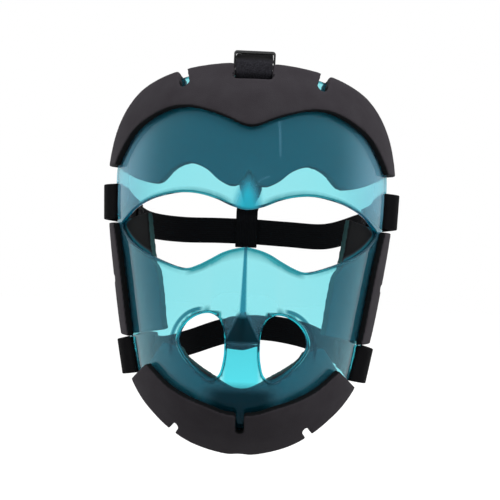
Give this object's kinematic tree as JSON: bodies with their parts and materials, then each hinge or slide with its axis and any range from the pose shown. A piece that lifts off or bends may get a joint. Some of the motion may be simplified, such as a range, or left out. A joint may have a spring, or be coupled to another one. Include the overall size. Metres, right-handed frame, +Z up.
{
  "type": "field hockey face mask",
  "caption": "Clear tinted face mask with one wide eye opening, two breathing vents, foam folded over its edge and adjustable elastic head straps.",
  "frame": {"origin": "middle of the plane of the shell's side edges, where the wearer's head sits, half way between crown and chin", "axes": "+Z up along the face, +Y backwards towards the head, +X to the wearer's left; the mask faces -Y"},
  "size_m": [0.2112, 0.229, 0.2735],
  "materials": {
    "shell": "clear turquoise, polished",
    "foam": "matte closed-cell foam skin",
    "webbing": "woven webbing with a pile face",
    "elastic": "ribbed elastic",
    "hook_tape": "short hooks",
    "keeper": "satin moulded plastic"
  },
  "bodies": {
    "mask": {"shell": "shell", "forehead_wrap": "foam", "left_cheek_wrap": "foam", "right_cheek_wrap": "foam", "chin_wrap": "foam", "upper_band": "elastic", "lower_band": "elastic", "crown_band": "elastic", "left_upper_strap": "webbing", "right_upper_strap": "webbing", "left_lower_strap": "webbing", "right_lower_strap": "webbing", "crown_strap": "webbing"},
    "keeper": {"crown_keeper": "keeper"},
    "left_upper_end": {"left_upper_tail": "webbing", "left_upper_hook_patch": "hook_tape"},
    "right_upper_end": {"right_upper_tail": "webbing", "right_upper_hook_patch": "hook_tape"},
    "left_lower_end": {"left_lower_tail": "webbing", "left_lower_hook_patch": "hook_tape"},
    "right_lower_end": {"right_lower_tail": "webbing", "right_lower_hook_patch": "hook_tape"},
    "crown_end": {"crown_tail": "webbing", "crown_hook_patch": "hook_tape"}
  },
  "joints": [
    {"name": "keeper_slide", "type": "slide", "parent": "mask", "child": "keeper", "axis": [0, 1, 0], "range_m": [0, 0.008]},
    {"name": "left_upper_peel", "type": "hinge", "parent": "mask", "child": "left_upper_end", "pos_m": [0.09467, 0.0262, 0.03115], "axis": [-0.015, -0.1981, -0.9801], "range_deg": [0, 75]},
    {"name": "right_upper_peel", "type": "hinge", "parent": "mask", "child": "right_upper_end", "pos_m": [-0.09467, 0.0262, 0.03115], "axis": [-0.015, 0.1981, 0.9801], "range_deg": [0, 75]},
    {"name": "left_lower_peel", "type": "hinge", "parent": "mask", "child": "left_lower_end", "pos_m": [0.07731, 0.00945, -0.07107], "axis": [-0.1181, 0.098, -0.9881], "range_deg": [0, 75]},
    {"name": "right_lower_peel", "type": "hinge", "parent": "mask", "child": "right_lower_end", "pos_m": [-0.07731, 0.00945, -0.07107], "axis": [-0.1181, -0.098, 0.9881], "range_deg": [0, 75]},
    {"name": "crown_peel", "type": "hinge", "parent": "mask", "child": "crown_end", "pos_m": [0, -0.03102, 0.13396], "axis": [1, 0, 0], "range_deg": [0, 75]}
  ]
}
